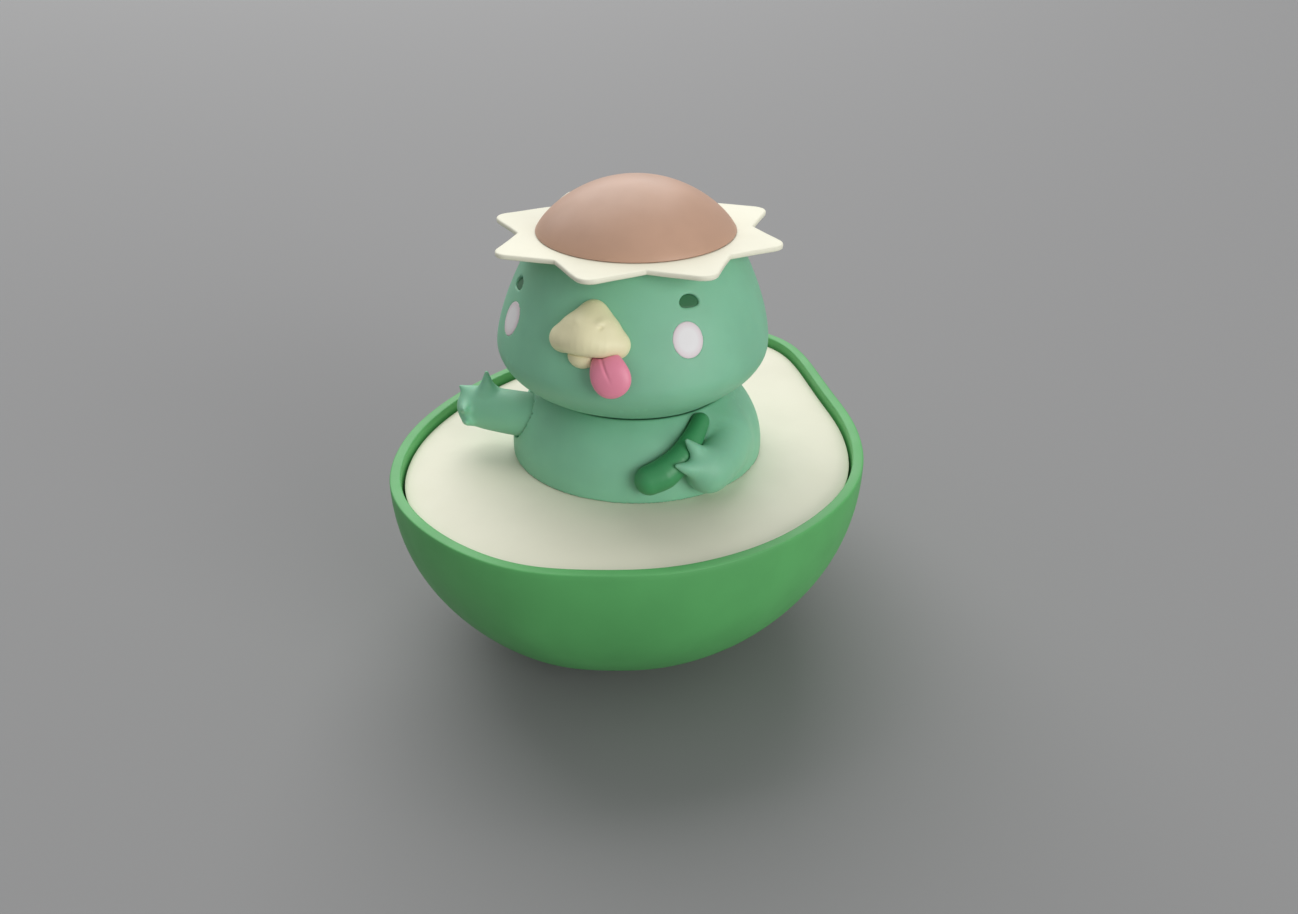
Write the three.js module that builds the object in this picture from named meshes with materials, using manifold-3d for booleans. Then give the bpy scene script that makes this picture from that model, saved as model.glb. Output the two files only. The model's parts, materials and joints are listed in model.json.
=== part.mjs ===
// Avocado tumbler desk toy: a weighted half-avocado bowl that rights itself, with a duck-billed
// figure standing in the flesh. Millimetres, +Z up. The origin is the middle of the flat foot
// under the bowl, on the vertical axis that the head turns about. The figure faces -Y, its left
// hand is at +X, and the stem end of the avocado is behind it at +Y.
import * as THREE from 'three';
import { ConvexGeometry } from 'three/addons/geometries/ConvexGeometry.js';
import { mergeVertices } from 'three/addons/utils/BufferGeometryUtils.js';
import Module from 'manifold-3d';

const wasm = await Module();
wasm.setup();

// ---------------------------------------------------------------- driving dimensions
const GAP = 0.3; // between pieces that touch
const AXIS_SEGMENTS = 32; // round the figure
const OUTLINE_SEGMENTS = 44; // round the avocado

const RIM_Z = 38; // top of the bowl's lip
const WALL = 2; // moulded plastic wall
// Half-avocado seen from above, clockwise from the blunt front end; the stem end is at +Y.
const AVOCADO_OUTLINE = [
  [-1, -48.5], [-19, -44.8], [-34.3, -33], [-41.4, -16], [-41.9, 1], [-37.8, 18], [-30.5, 33],
  [-24, 45], [-15.5, 55.4], [0, 59], [15.5, 55.4], [24, 45], [30.5, 33], [38.4, 18],
  [42.6, 1], [40.4, -15], [31.8, -31.2], [17, -43.2],
];
const BOWL_CENTRE_Y = -3; // the bowl is deepest under this point
const BOWL_POWER = 2.15; // 2 is an ellipsoid, more is squarer
const FOOT_SHARE = 0.21; // the flat foot's size as a share of the rim's

const FLESH_EDGE_Z = 36.4; // the flesh sits below the lip
const FLESH_CROWN = 0.7; // and domes up by this much towards the figure
const FLESH_ROUNDING = 0.6; // its edge rolls down by this much
const FLESH_INSET = WALL + 0.5; // from the rim's outline
const FLESH_SKIRT_Z = 31;

const BODY_BOTTOM_Z = 37.6;
const BODY_RADIUS = 23.2;
const BODY_SWELL_Z = 38.4; // height of the widest ring
const BODY_HEIGHT = 17.5; // of the ellipsoid that the torso is cut from
const BODY_TOP_Z = 48.2; // plateau round the neck, inside the collar
const COLLAR_Z = 50.2; // the torso rises to this rim, close under the chin
const NECK_RADIUS = 5.5; // the head's spigot, which turns in the torso
const NECK_END_Z = 45.7;
const WASHER_THICKNESS = 1.2;
const WASHER_RADIUS = 8.5;

const HAT_Z = 78; // underside of the star ring
const HEAD_WIDEST_Z = 60;
const HEAD_RADIUS = 24.2;
const HEAD_TOP_RADIUS = 17.5;
const HEAD_BOTTOM_Z = 48.6;
const HEAD_WALL = 2.6;
const HEAD_TAPER = 1.6; // how suddenly the head narrows to its crown
const CHIN_POWER = 1.9; // 2 is an ellipsoid
const NAPE_POWER = 3.2; // the back of the head comes down fuller than the chin
const CHIN_FORWARD = 4.5; // the chin's middle stands this far in front of the neck
const NAPE_FORWARD = 1.6;
const HEAD_FLATTEN = 0.97; // depth over width
// Where each inlay's middle sits on the face, on the figure's left and right.
const EYES = { left: [13.9, -14.9, 72.8], right: [-16.7, -12.7, 71.8] };
const CHEEKS = { left: [14.9, -18.2, 67.2], right: [-17.4, -15.9, 66.8] };
const EYE_RADII = [1.78, 1.45];
const CHEEK_RADII = [2.6, 2.95];
const INLAY_DEPTH = 1.2; // below the head's surface
const EYE_RECESS = 0.4;
const CHEEK_RISE = 0.1;
const BILL_X = -0.4; // the face looks a little to the figure's right
const NOSTRILS_X = [BILL_X - 1.3, BILL_X + 2.3];
const TONGUE_SWING = -0.5; // radians, tip towards the figure's left
const TONGUE_LEAN = -0.38; // radians, tip away from the face
const TONGUE_TURN = 0.1; // radians, towards the figure's left cheek

const STAR_TIPS = 8;
const STAR_RADIUS = 26;
const STAR_VALLEY = 20.5;
const STAR_TIP_WIDTH = 2.2;
const STAR_THICKNESS = 0.9;
const CROWN_HOLE = 14.3; // opening in the crown and in the star ring

const PIT_RADIUS = 17.5;
const PIT_HEIGHT = 8.7;

const ARM_AXIS_Y = -10;
const ARM_AXIS_Z = 45;
const ARM_ROOT_X = -13.9; // the socket's floor, inside the torso's surface all round
const ARM_ROOT_RADIUS = 4.15;
const ARM_PEG_RADIUS = 1.5;
const ARM_FLANGE_RADIUS = 2.5;
const ARM_PEG_LENGTH = 8; // under its flange
const ARM_SOCKET_WALL = 2.4;

const WEIGHT_BOTTOM_Z = 8;
const WEIGHT_THICKNESS = 8;
const WEIGHT_TOP_Z = WEIGHT_BOTTOM_Z + WEIGHT_THICKNESS;
const WEIGHT_SCREW_SINK = 3;
const WEIGHT_RADIUS = 21;
const WEIGHT_SCREW_CIRCLE = 13;
const COVER_SCREW_CIRCLE = 15;
const BODY_SCREW_CIRCLE = 16.5;
const BODY_SCREW_SEAT_Z = 34.2; // just under the flesh cover
const WELL_TOP = 15; // the cover screws' heads seat under this floor
const POST_BOTTOM = 18.3; // the flesh cover's posts end here
const PILOT_RADIUS = 1.2; // hole that a self-tapping screw cuts its thread in
const CLEARANCE_RADIUS = 1.7; // hole that a screw's shank passes through

const COLOURS = {
  skin: 0x4a8a52,
  flesh: 0xe9e6cb,
  figure: 0x6f9c82,
  hat: 0xf2f2dc,
  pit: 0xb98f78,
  bill: 0xd6cfa6,
  tongue: 0xc77c8f,
  eye: 0x2f6b45,
  cheek: 0xd9d9d9,
  cucumber: 0x2f6f45,
  iron: 0x55585c,
  steel: 0xb4b8bd,
};

// ---------------------------------------------------------------- solids and geometry
function toSolid(geometry) {
  const bare = geometry.clone();
  bare.deleteAttribute('normal');
  bare.deleteAttribute('uv');
  const merged = mergeVertices(bare, 1e-4);
  const solid = new wasm.Manifold(new wasm.Mesh({
    numProp: 3,
    vertProperties: merged.attributes.position.array,
    triVerts: new Uint32Array(merged.index.array),
  }));
  return solid;
}

function toGeometry(solid) {
  const mesh = solid.getMesh();
  const geometry = new THREE.BufferGeometry();
  geometry.setAttribute('position', new THREE.BufferAttribute(new Float32Array(mesh.vertProperties), 3));
  geometry.setIndex(new THREE.BufferAttribute(new Uint32Array(mesh.triVerts), 1));
  geometry.computeVertexNormals();
  return geometry;
}

function signedVolume(points, triangles) {
  let sum = 0;
  for (const [a, b, c] of triangles) {
    sum += points[a].dot(new THREE.Vector3().crossVectors(points[b], points[c]));
  }
  return sum / 6;
}

// Skin over a stack of rings of equal count, with a flat cap on the first and on the last.
function loft(rings) {
  const count = rings[0].length;
  const points = rings.flat();
  const triangles = [];
  for (let ring = 0; ring + 1 < rings.length; ring += 1) {
    for (let i = 0; i < count; i += 1) {
      const a = ring * count + i;
      const b = ring * count + ((i + 1) % count);
      triangles.push([a, b, b + count], [a, b + count, a + count]);
    }
  }
  for (const [ring, turned] of [[0, true], [rings.length - 1, false]]) {
    const middle = points.length;
    const sum = rings[ring].reduce((total, point) => total.add(point), new THREE.Vector3());
    points.push(sum.divideScalar(count));
    for (let i = 0; i < count; i += 1) {
      const a = ring * count + i;
      const b = ring * count + ((i + 1) % count);
      triangles.push(turned ? [middle, b, a] : [middle, a, b]);
    }
  }
  const inward = signedVolume(points, triangles) < 0;
  const index = triangles.flatMap(([a, b, c]) => (inward ? [a, c, b] : [a, b, c]));
  const geometry = new THREE.BufferGeometry().setFromPoints(points);
  geometry.setIndex(index);
  return toSolid(geometry);
}

// Turn a profile of [radius, height] points, listed from the bottom up, about the vertical axis.
function lathe(profile, segments = AXIS_SEGMENTS) {
  const points = profile.map(([radius, height]) => new THREE.Vector2(radius, height));
  const geometry = new THREE.LatheGeometry(points, segments);
  geometry.rotateX(Math.PI / 2);
  return toSolid(geometry);
}

function rod(radius, from, to, segments = 16) {
  const start = new THREE.Vector3(...from);
  const span = new THREE.Vector3(...to).sub(start);
  const geometry = new THREE.CylinderGeometry(radius, radius, span.length(), segments);
  const upright = new THREE.Vector3(0, 1, 0);
  const along = span.clone().normalize();
  geometry.applyQuaternion(new THREE.Quaternion().setFromUnitVectors(upright, along));
  geometry.translate(...start.addScaledVector(span, 0.5).toArray());
  return toSolid(geometry);
}

function ball(centre, radii, segments = 16) {
  const geometry = new THREE.SphereGeometry(1, segments, Math.round(segments * 0.6));
  geometry.scale(...radii);
  geometry.translate(...centre);
  return toSolid(geometry);
}

// A soft limb: rings of given radius round a smooth curve, rounded off at both ends.
function limb(centres, radii, sides = 12, steps = 12) {
  const curve = new THREE.CatmullRomCurve3(centres.map((centre) => new THREE.Vector3(...centre)));
  const rings = [];
  const side = new THREE.Vector3();
  for (let step = 0; step <= steps; step += 1) {
    const share = (1 - Math.cos((Math.PI * step) / steps)) / 2;
    const centre = curve.getPoint(share);
    const along = curve.getTangent(share);
    side.set(0, 0, 1).cross(along).normalize();
    const up = new THREE.Vector3().crossVectors(along, side);
    const end = Math.min(step, steps - step);
    const rounding = end < 3 ? Math.sin((Math.PI / 2) * ((end + 0.6) / 3.6)) : 1;
    const place = share * (radii.length - 1);
    const first = Math.min(Math.floor(place), radii.length - 2);
    const radius = rounding * THREE.MathUtils.lerp(radii[first], radii[first + 1], place - first);
    rings.push(Array.from({ length: sides }, (_, i) => {
      const angle = (2 * Math.PI * i) / sides;
      return centre.clone()
        .addScaledVector(side, radius * Math.cos(angle))
        .addScaledVector(up, radius * Math.sin(angle));
    }));
  }
  return loft(rings);
}

// A point at a radius and height, at an angle in degrees measured from the front towards +X.
function polar(radius, degrees, z) {
  const angle = THREE.MathUtils.degToRad(degrees);
  return [radius * Math.sin(angle), -radius * Math.cos(angle), z];
}

function threeAround(radius, firstDegrees) {
  return [0, 1, 2].map((i) => polar(radius, firstDegrees + 120 * i, 0));
}

// ---------------------------------------------------------------- outlines and surfaces
const outlineCurve = new THREE.CatmullRomCurve3(
  AVOCADO_OUTLINE.map(([x, y]) => new THREE.Vector3(x, y, 0)), true, 'centripetal',
);

// One ring of the avocado: its rim outline, moved in by inset, shrunk to share about the centre.
function avocadoRing(inset, share, z) {
  const ring = [];
  for (let i = 0; i < OUTLINE_SEGMENTS; i += 1) {
    const place = i / OUTLINE_SEGMENTS;
    const point = outlineCurve.getPointAt(place);
    const along = outlineCurve.getTangentAt(place);
    point.x -= inset * -along.y;
    point.y -= inset * along.x;
    ring.push(new THREE.Vector3(
      point.x * share,
      BOWL_CENTRE_Y + (point.y - BOWL_CENTRE_Y) * share,
      z,
    ));
  }
  return ring;
}

// The bowl's curve: share of the rim's size at a height between the foot and the rim.
function bowlShare(z, bottom) {
  const flat = (1 - FOOT_SHARE ** BOWL_POWER) ** (1 / BOWL_POWER);
  const down = ((RIM_Z - z) / (RIM_Z - bottom)) * flat;
  return (1 - down ** BOWL_POWER) ** (1 / BOWL_POWER);
}

// Heights that crowd together towards the flat bottom, where the wall turns in.
function bowlHeights(bottom, top, count) {
  return Array.from({ length: count }, (_, i) => bottom + (top - bottom) * (i / (count - 1)) ** 1.8);
}

// Half-width of the head at a height, with the roundness of its underside given by power.
function headRadius(z, power) {
  if (z < HEAD_WIDEST_Z) {
    const down = Math.min((HEAD_WIDEST_Z - z) / (HEAD_WIDEST_Z - HEAD_BOTTOM_Z), 0.999);
    return HEAD_RADIUS * (1 - down ** power) ** (1 / power);
  }
  const up = 1 - Math.max(HAT_Z - z, 0) / (HAT_Z - HEAD_WIDEST_Z);
  return HEAD_TOP_RADIUS + (HEAD_RADIUS - HEAD_TOP_RADIUS) * (1 - up ** HEAD_TAPER);
}

// Head outline at a height: an upright egg whose chin stands in front of the neck.
function headRing(z, shrink, count = AXIS_SEGMENTS) {
  const fall = Math.min(Math.max(HAT_Z - z, 0) / (HAT_Z - HEAD_BOTTOM_Z + 4), 1);
  return Array.from({ length: count }, (_, i) => {
    const angle = (2 * Math.PI * i) / count;
    const back = Math.max(Math.sin(angle), 0);
    const power = THREE.MathUtils.lerp(CHIN_POWER, NAPE_POWER, back);
    const forward = fall * THREE.MathUtils.lerp(CHIN_FORWARD, NAPE_FORWARD, back);
    const reach = Math.max(headRadius(z, power) - shrink, 0.4);
    return new THREE.Vector3(
      reach * Math.cos(angle),
      reach * HEAD_FLATTEN * Math.sin(angle) - forward,
      z,
    );
  });
}

// The head's solid, or with a shrink the hollow inside it, between two heights.
function headSolid(bottom, top, shrink) {
  const rings = [];
  const below = HEAD_WIDEST_Z - bottom;
  const stretch = (HEAD_WIDEST_Z - HEAD_BOTTOM_Z) / below;
  for (let i = 0; i < 6; i += 1) {
    const down = below * Math.sin((Math.PI / 2) * (1 - i / 6) * 0.985);
    const ring = headRing(HEAD_WIDEST_Z - down * stretch, shrink);
    rings.push(ring.map((point) => point.setZ(HEAD_WIDEST_Z - down)));
  }
  for (let i = 0; i <= 5; i += 1) {
    rings.push(headRing(HEAD_WIDEST_Z + (top - HEAD_WIDEST_Z) * (i / 5), shrink));
  }
  return loft(rings);
}

// Torso radius at a height: an upright ellipsoid, cut off at the bottom and at the neck.
function bodyRadius(z) {
  const up = (z - BODY_SWELL_Z) / BODY_HEIGHT;
  return BODY_RADIUS * Math.sqrt(1 - up * up);
}

// ---------------------------------------------------------------- screws
// Pan-head screw with a cross recess: its head seats at height 0 and its shank points up.
function screw(length, headRadius) {
  const shankRadius = 1;
  const headDepth = headRadius * 0.7;
  const profile = [
    [0, -headDepth], [headRadius * 0.75, -headDepth], [headRadius, -headDepth * 0.6],
    [headRadius, 0], [shankRadius, 0], [shankRadius, length - shankRadius * 1.6], [0, length],
  ];
  let solid = lathe(profile, 10);
  for (const turn of [0, Math.PI / 2]) {
    const slot = new THREE.BoxGeometry(headRadius * 1.1, headRadius * 0.26, headDepth * 0.9);
    slot.rotateZ(turn);
    slot.translate(0, 0, -headDepth);
    solid = solid.subtract(toSolid(slot));
  }
  return solid;
}

// ---------------------------------------------------------------- avocado bowl
const coverPosts = threeAround(COVER_SCREW_CIRCLE, 60);
const weightScrews = threeAround(WEIGHT_SCREW_CIRCLE, 0);
const bodyScrews = threeAround(BODY_SCREW_CIRCLE, 0);

function skinShell() {
  const outside = bowlHeights(0, RIM_Z - 0.6, 9).map((z) => avocadoRing(0, bowlShare(z, 0), z));
  const inside = bowlHeights(WALL, RIM_Z - 0.5, 8).reverse()
    .map((z) => avocadoRing(WALL, bowlShare(z, WALL), z));
  const lip = [avocadoRing(0.5, 1, RIM_Z), avocadoRing(WALL - 0.5, 1, RIM_Z)];
  let solid = loft([...outside, ...lip, ...inside]);
  for (const [x, y] of coverPosts) {
    solid = solid.add(rod(5, [x, y, WALL + 0.6], [x, y, WELL_TOP + 3], 20));
  }
  for (const [x, y] of weightScrews) {
    solid = solid.add(rod(3.2, [x, y, WALL], [x, y, WEIGHT_BOTTOM_Z - GAP]));
    solid = solid.subtract(rod(PILOT_RADIUS, [x, y, WALL + 0.8], [x, y, WEIGHT_BOTTOM_Z + 1], 12));
  }
  for (const [x, y] of coverPosts) {
    solid = solid.subtract(rod(3.2, [x, y, -1], [x, y, WELL_TOP], 20));
    solid = solid.subtract(rod(CLEARANCE_RADIUS, [x, y, -1], [x, y, WELL_TOP + 4], 14));
  }
  return solid;
}

function counterweight() {
  const top = WEIGHT_TOP_Z;
  let solid = lathe([
    [0, WEIGHT_BOTTOM_Z], [WEIGHT_RADIUS - 1.5, WEIGHT_BOTTOM_Z], [WEIGHT_RADIUS, WEIGHT_BOTTOM_Z + 1.5],
    [WEIGHT_RADIUS, top - 1], [WEIGHT_RADIUS - 1, top], [0, top],
  ]);
  for (const [x, y] of coverPosts) {
    solid = solid.subtract(rod(5.4, [x, y, 0], [x, y, top + 1], 20));
  }
  for (const [x, y] of weightScrews) {
    solid = solid.subtract(rod(CLEARANCE_RADIUS, [x, y, 0], [x, y, top + 1], 14));
    solid = solid.subtract(rod(3.4, [x, y, top - WEIGHT_SCREW_SINK], [x, y, top + 1], 16));
  }
  return solid;
}

function fleshTop(share) {
  const edge = Math.sqrt(Math.max(1 - share ** 14, 0)) - 1;
  return FLESH_EDGE_Z + FLESH_CROWN * (1 - share ** 2.4) + FLESH_ROUNDING * edge + 0.2;
}

function fleshCover() {
  const inset = FLESH_INSET;
  const top = [0.12, 0.45, 0.72, 0.9, 0.97, 0.996].map(
    (share) => avocadoRing(inset, share, fleshTop(share)),
  );
  const skirt = [
    avocadoRing(inset, 0.993, FLESH_EDGE_Z - 2.2),
    avocadoRing(inset, 0.972, FLESH_SKIRT_Z),
    avocadoRing(inset + WALL, 0.972, FLESH_SKIRT_Z),
    avocadoRing(inset + WALL, 0.985, FLESH_EDGE_Z - 3.2),
  ];
  const under = [0.88, 0.5, 0.12].map(
    (share) => avocadoRing(inset, share, fleshTop(share) - WALL),
  );
  let solid = loft([...top, ...skirt, ...under]);
  for (const [x, y] of coverPosts) {
    solid = solid.add(rod(4.4, [x, y, POST_BOTTOM], [x, y, FLESH_EDGE_Z], 18));
    solid = solid.subtract(rod(PILOT_RADIUS, [x, y, POST_BOTTOM - 1], [x, y, POST_BOTTOM + 13], 12));
  }
  for (const [x, y] of bodyScrews) {
    solid = solid.subtract(rod(CLEARANCE_RADIUS, [x, y, 30], [x, y, 40], 14));
  }
  return solid;
}

// ---------------------------------------------------------------- torso with its left arm
const bodySides = [BODY_BOTTOM_Z, 39.5, 42, 44.5, 46.5, 48.2, 49.4, COLLAR_Z]
  .map((z) => [bodyRadius(z), z]);
const bodyOuterProfile = [[0, BODY_BOTTOM_Z], ...bodySides, [13.5, 49.15], [10, 48.6],
  [6, BODY_TOP_Z], [0, BODY_TOP_Z]];
const bodyCeiling = BODY_TOP_Z - WALL - 0.2;

function leftArm() {
  const shoulder = polar(14.5, 84, 45.2);
  const elbow = polar(18.4, 73, 43.4);
  const wrist = polar(21.6, 60, 42.9);
  const hand = polar(23.9, 51, 42.9);
  let arm = limb([shoulder, elbow, wrist, hand], [4.6, 5.4, 4.5, 4], 12, 10);
  arm = arm.add(ball(hand, [3.8, 3.8, 3.8], 14));
  arm = arm.add(limb([polar(24.2, 47, 44.2), polar(24.3, 42.3, 47.2), polar(23.6, 38.8, 49.3)],
    [2.4, 1.3, 0.5], 8, 6));
  arm = arm.add(limb([polar(25, 45.5, 43.4), polar(26, 38, 44.9), polar(25.9, 32.6, 45.7)],
    [2.4, 1.3, 0.5], 8, 6));
  return arm;
}

const cucumberCentres = [polar(24.2, 17.4, 41.7), polar(23.8, 26, 42.9), polar(22.7, 36.9, 45.2),
  polar(21, 44.6, 47.2), polar(19.1, 52.8, 48.8), polar(17.7, 58, 49.6)];
const cucumberRadii = [2.7, 2.75, 2.35, 1.95, 1.7, 1.6];

// A rod along the axis that the right arm turns about.
function armRod(radius, fromX, toX, segments) {
  return rod(radius, [fromX, ARM_AXIS_Y, ARM_AXIS_Z], [toX, ARM_AXIS_Y, ARM_AXIS_Z], segments);
}

function cucumberPeg(radius) {
  return rod(radius, polar(18.6, 27, 43), polar(24, 27, 43), 12);
}

function bodyCavity() {
  const sides = [BODY_BOTTOM_Z, 40, 43, 46].map((z) => [bodyRadius(z) - WALL, z]);
  return lathe([[0, BODY_BOTTOM_Z - 2], [sides[0][0], BODY_BOTTOM_Z - 2], ...sides,
    [16.4, 47.4], [13.5, 46.5], [10, bodyCeiling], [0, bodyCeiling]]);
}

function bodyShell() {
  let solid = lathe(bodyOuterProfile).add(leftArm());
  solid = solid.subtract(bodyCavity());
  for (const [x, y] of bodyScrews) {
    solid = solid.add(rod(3.2, [x, y, BODY_BOTTOM_Z], [x, y, 47]));
    solid = solid.subtract(rod(PILOT_RADIUS, [x, y, BODY_BOTTOM_Z - 1], [x, y, 45], 12));
  }
  const cup = armRod(ARM_ROOT_RADIUS + 2, ARM_ROOT_X + ARM_SOCKET_WALL, ARM_ROOT_X - 6, 24);
  solid = solid.add(cup.intersect(lathe(bodyOuterProfile)));
  solid = solid.subtract(armRod(ARM_ROOT_RADIUS + GAP, ARM_ROOT_X, ARM_ROOT_X - 12, 24));
  solid = solid.subtract(armRod(ARM_PEG_RADIUS + GAP, ARM_ROOT_X + 4, ARM_ROOT_X - 4));
  const pocketStart = ARM_ROOT_X + ARM_SOCKET_WALL;
  solid = solid.subtract(armRod(ARM_FLANGE_RADIUS + GAP, pocketStart, ARM_ROOT_X + 6, 20));
  solid = solid.subtract(rod(NECK_RADIUS + GAP, [0, 0, 40], [0, 0, 52], 24));
  solid = solid.subtract(cucumberPeg(1.5));
  return solid.subtract(limb(cucumberCentres, cucumberRadii.map((radius) => radius + GAP)));
}

function cucumber() {
  return limb(cucumberCentres, cucumberRadii).add(cucumberPeg(1.2));
}

// ---------------------------------------------------------------- right arm and its peg
function rightArm() {
  const y = ARM_AXIS_Y;
  const z = ARM_AXIS_Z;
  const root = ARM_ROOT_X - GAP;
  const sleeve = limb([[root + 3.5, y, z], [root - 4, y, z], [-25, y, z], [-29.6, y, z]],
    [ARM_ROOT_RADIUS, ARM_ROOT_RADIUS, 4.1, 3.9], 18, 12);
  const behind = new THREE.BoxGeometry(12, 20, 20);
  behind.translate(root + 6, y, z);
  let arm = sleeve.add(ball([-28.2, y - 0.2, z - 0.2], [3.5, 3.6, 4], 14));
  const fingers = [
    [[-25.5, y, z + 3], [-25.5, y - 0.2, z + 5], [-25.4, y - 0.3, z + 7.4]],
    [[-27.8, y, z + 1.8], [-29.3, y, z + 2.9], [-30.9, y, z + 3.7]],
    [[-28.4, y - 1.5, z + 0.6], [-28, y - 3.4, z + 1.1], [-27.4, y - 5, z + 1.4]],
    [[-28.2, y - 1.5, z - 1.2], [-27.8, y - 3.2, z - 1], [-27.3, y - 4.8, z - 0.9]],
  ];
  for (const finger of fingers) {
    arm = arm.add(limb(finger, [2.1, 1.4, 0.5], 8, 6));
  }
  arm = arm.subtract(toSolid(behind));
  return arm.subtract(armRod(ARM_PEG_RADIUS + GAP, root + 1, root - 6));
}

// Mushroom-headed peg, drawn upright from the foot of its stem: the arm turns on it.
function armPeg() {
  const flange = ARM_PEG_LENGTH;
  const profile = [
    [0, 0], [ARM_PEG_RADIUS, 0], [ARM_PEG_RADIUS, flange], [ARM_FLANGE_RADIUS, flange],
    [ARM_FLANGE_RADIUS - 0.4, flange + 1.2], [0, flange + 1.8],
  ];
  return lathe(profile, 16);
}

// ---------------------------------------------------------------- head
const headTop = HAT_Z - GAP;

// Outward direction of the head's surface near a point, and the surface point itself.
function headFace([x, y, z]) {
  const forward = CHIN_FORWARD * ((HAT_Z - z) / (HAT_Z - HEAD_BOTTOM_Z + 4));
  const flat = new THREE.Vector3(x, y + forward, 0);
  const angle = Math.atan2(flat.y, flat.x);
  const at = (height) => {
    const ring = headRing(height, 0, 720);
    const step = Math.round((angle / (2 * Math.PI)) * 720 + 720) % 720;
    return ring[step];
  };
  const here = at(z);
  const slope = at(z + 0.5).sub(at(z - 0.5));
  const round = new THREE.Vector3(-Math.sin(angle), Math.cos(angle) * HEAD_FLATTEN, 0);
  const out = new THREE.Vector3().crossVectors(round, slope).normalize();
  return { here, out };
}

function extrude(shape, depth, curveSegments) {
  return new THREE.ExtrudeGeometry(shape, { depth, bevelEnabled: false, curveSegments });
}

// Extrude an outline along the head's outward direction, from below its surface to above it.
function inlay(shape, place, below, above) {
  const { here, out } = headFace(place);
  const geometry = extrude(shape, below + above, 8);
  geometry.translate(0, 0, -below);
  const right = new THREE.Vector3(0, 0, 1).cross(out).normalize();
  const up = new THREE.Vector3().crossVectors(out, right);
  geometry.applyMatrix4(new THREE.Matrix4().makeBasis(right, up, out).setPosition(here));
  return toSolid(geometry);
}

// Half-moon: flat below, arched above.
function eyeShape(grow) {
  const shape = new THREE.Shape();
  shape.absellipse(0, 0, EYE_RADII[0] + grow, EYE_RADII[1] + grow, -0.45, Math.PI + 0.45, false);
  return shape;
}

function cheekShape(grow) {
  const shape = new THREE.Shape();
  shape.absellipse(0, 0, CHEEK_RADII[0] + grow, CHEEK_RADII[1] + grow, 0, 2 * Math.PI, false);
  return shape;
}

function headShell() {
  let solid = headSolid(HEAD_BOTTOM_Z, headTop, 0);
  const cavity = headSolid(HEAD_BOTTOM_Z + HEAD_WALL, headTop - HEAD_WALL, HEAD_WALL);
  solid = solid.subtract(cavity);
  solid = solid.subtract(rod(CROWN_HOLE, [0, 0, headTop - HEAD_WALL - 1], [0, 0, headTop + 1], 36));
  solid = solid.add(rod(NECK_RADIUS, [0, 0, NECK_END_Z], [0, 0, 58], 24));
  solid = solid.subtract(rod(PILOT_RADIUS, [0, 0, NECK_END_Z - 1], [0, 0, 57], 12));
  for (const side of ['left', 'right']) {
    solid = solid.subtract(inlay(eyeShape(GAP), EYES[side], INLAY_DEPTH + GAP, 4));
    solid = solid.subtract(inlay(cheekShape(GAP), CHEEKS[side], INLAY_DEPTH + GAP, 4));
  }
  return solid.subtract(billPeg(1.8));
}

// ---------------------------------------------------------------- bill and tongue
const headOutside = headSolid(HEAD_BOTTOM_Z, headTop, -GAP);

function billPeg(radius) {
  return rod(radius, [BILL_X, -19.5, 68.6], [BILL_X, -25.4, 68.6], 12);
}

// A rounded triangle seen from the front, crowned towards the viewer.
function upperBillBlank(grow) {
  const corners = [
    [[BILL_X, -20.8, 70.7], 2.3], [[BILL_X - 4.6, -22.9, 67.2], 2.3],
    [[BILL_X + 4.4, -22.9, 67.1], 2.3], [[BILL_X, -25.7, 68.1], 2.2],
    [[BILL_X - 2.6, -25, 67.8], 2.1], [[BILL_X + 2.6, -25, 67.7], 2.1],
  ];
  const points = corners.flatMap(([centre, radius]) => {
    const knob = new THREE.IcosahedronGeometry(radius + grow, 3).translate(...centre);
    const spots = knob.attributes.position;
    return Array.from({ length: spots.count }, (_, i) => new THREE.Vector3().fromBufferAttribute(spots, i));
  });
  return toSolid(new ConvexGeometry(points));
}

function upperBill() {
  let solid = upperBillBlank(0);
  for (const x of NOSTRILS_X) {
    solid = solid.add(ball([x, -24.6, 71.1], [0.7, 0.8, 0.5], 10));
  }
  return solid.subtract(headOutside).add(billPeg(1.5));
}

function tongueBlank(grow) {
  const blade = new THREE.SphereGeometry(1, 18, 12);
  blade.scale(3.3 + grow, 1.5 + grow, 4.2 + grow);
  blade.rotateY(TONGUE_SWING);
  blade.rotateX(TONGUE_LEAN);
  blade.rotateZ(TONGUE_TURN);
  blade.translate(BILL_X + 4.4, -26.8, 63.75);
  return toSolid(blade);
}

function tongue() {
  return tongueBlank(0).subtract(headOutside).subtract(upperBillBlank(GAP));
}

function lowerBill() {
  return ball([BILL_X - 0.8, -24.3, 64.9], [2.8, 3.4, 2.3], 20)
    .subtract(headOutside)
    .subtract(upperBillBlank(GAP))
    .subtract(tongueBlank(GAP));
}

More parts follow.
